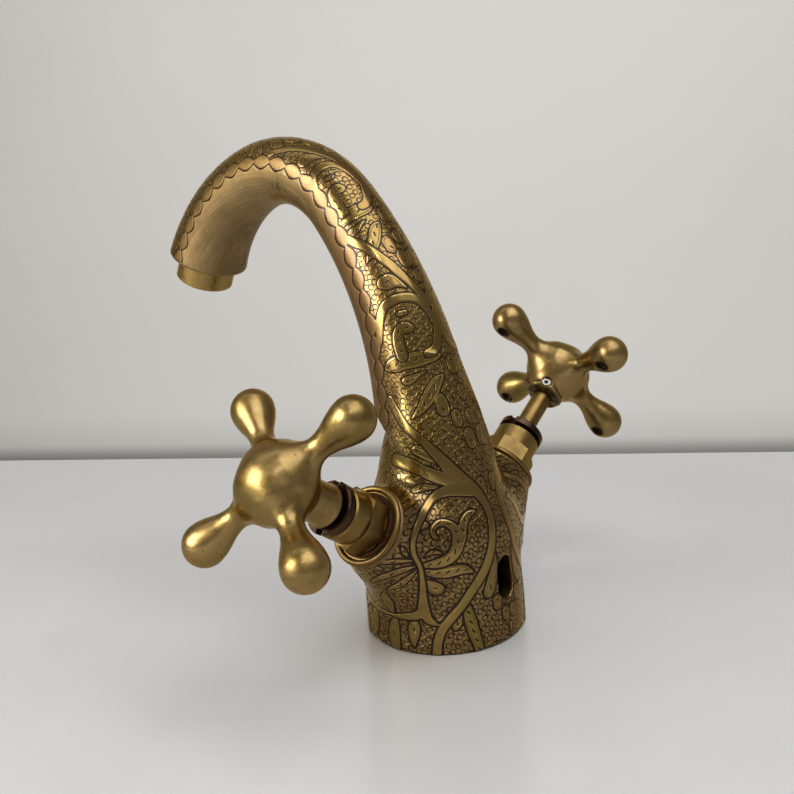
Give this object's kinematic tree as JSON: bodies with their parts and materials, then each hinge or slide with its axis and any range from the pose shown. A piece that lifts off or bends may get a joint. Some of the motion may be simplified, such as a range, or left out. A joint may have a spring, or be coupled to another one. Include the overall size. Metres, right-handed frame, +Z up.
{
  "type": "bathroom mixer faucet",
  "caption": "Antique brass basin mixer: engraved curved spout on a round single-hole base, with tilted hot and cold cross handles that turn and rise.",
  "frame": {"origin": "centre of the base underside, where the base stands on the basin deck", "axes": "+Z up, spout toward -Y, cold handle on +X and hot handle on -X; the rod slot is at the back, +Y"},
  "size_m": [0.173, 0.1502, 0.156],
  "materials": {
    "engraved_brass": "hand-engraved antique satin brass with dark lines",
    "cast_brass": "satin cast brass with small pits",
    "aged_brass": "satin antique brass",
    "bright_brass": "machined brass, lightly tarnished",
    "dark_brass": "dark oxidised brass",
    "steel": "plain steel",
    "rubber": "matt black",
    "fibre": "red fibre",
    "white_plastic": "matt off-white"
  },
  "bodies": {
    "mixer_body": {"body_casting": "engraved_brass", "base_seal": "rubber", "aerator_collar": "bright_brass", "aerator_insert": "white_plastic", "aerator_washer": "rubber", "cold_port_ring": "aged_brass", "cold_bonnet": "bright_brass", "cold_bonnet_gasket": "fibre", "cold_gland_nut": "dark_brass", "cold_gland_packing": "white_plastic", "cold_valve_seat": "steel", "hot_port_ring": "aged_brass", "hot_bonnet": "bright_brass", "hot_bonnet_gasket": "fibre", "hot_gland_nut": "dark_brass", "hot_gland_packing": "white_plastic", "hot_valve_seat": "steel"},
    "cold_valve": {"cold_jumper": "bright_brass", "cold_tap_washer": "rubber", "cold_jumper_screw": "steel"},
    "cold_control": {"cold_spindle": "bright_brass", "cold_handle": "cast_brass", "cold_grub_screw": "steel"},
    "hot_valve": {"hot_jumper": "bright_brass", "hot_tap_washer": "rubber", "hot_jumper_screw": "steel"},
    "hot_control": {"hot_spindle": "bright_brass", "hot_handle": "cast_brass", "hot_grub_screw": "steel"}
  },
  "joints": [
    {"name": "cold_lift", "type": "slide", "parent": "mixer_body", "child": "cold_valve", "axis": [0.829, 0, 0.5592], "range_m": [0, 0.009]},
    {"name": "cold_turn", "type": "hinge", "parent": "cold_valve", "child": "cold_control", "pos_m": [0, 0, 0.0187], "axis": [0.829, 0, 0.5592], "range_deg": [0, 1080]},
    {"name": "hot_lift", "type": "slide", "parent": "mixer_body", "child": "hot_valve", "axis": [-0.829, 0, 0.5592], "range_m": [-0.009, 0]},
    {"name": "hot_turn", "type": "hinge", "parent": "hot_valve", "child": "hot_control", "pos_m": [0, 0, 0.0187], "axis": [-0.829, 0, 0.5592], "range_deg": [-1080, 0]}
  ],
  "couplings": [
    {"joint": "cold_lift", "follows": "cold_turn", "m_per_rad": 0.0004774},
    {"joint": "hot_lift", "follows": "hot_turn", "m_per_rad": 0.0004774}
  ]
}
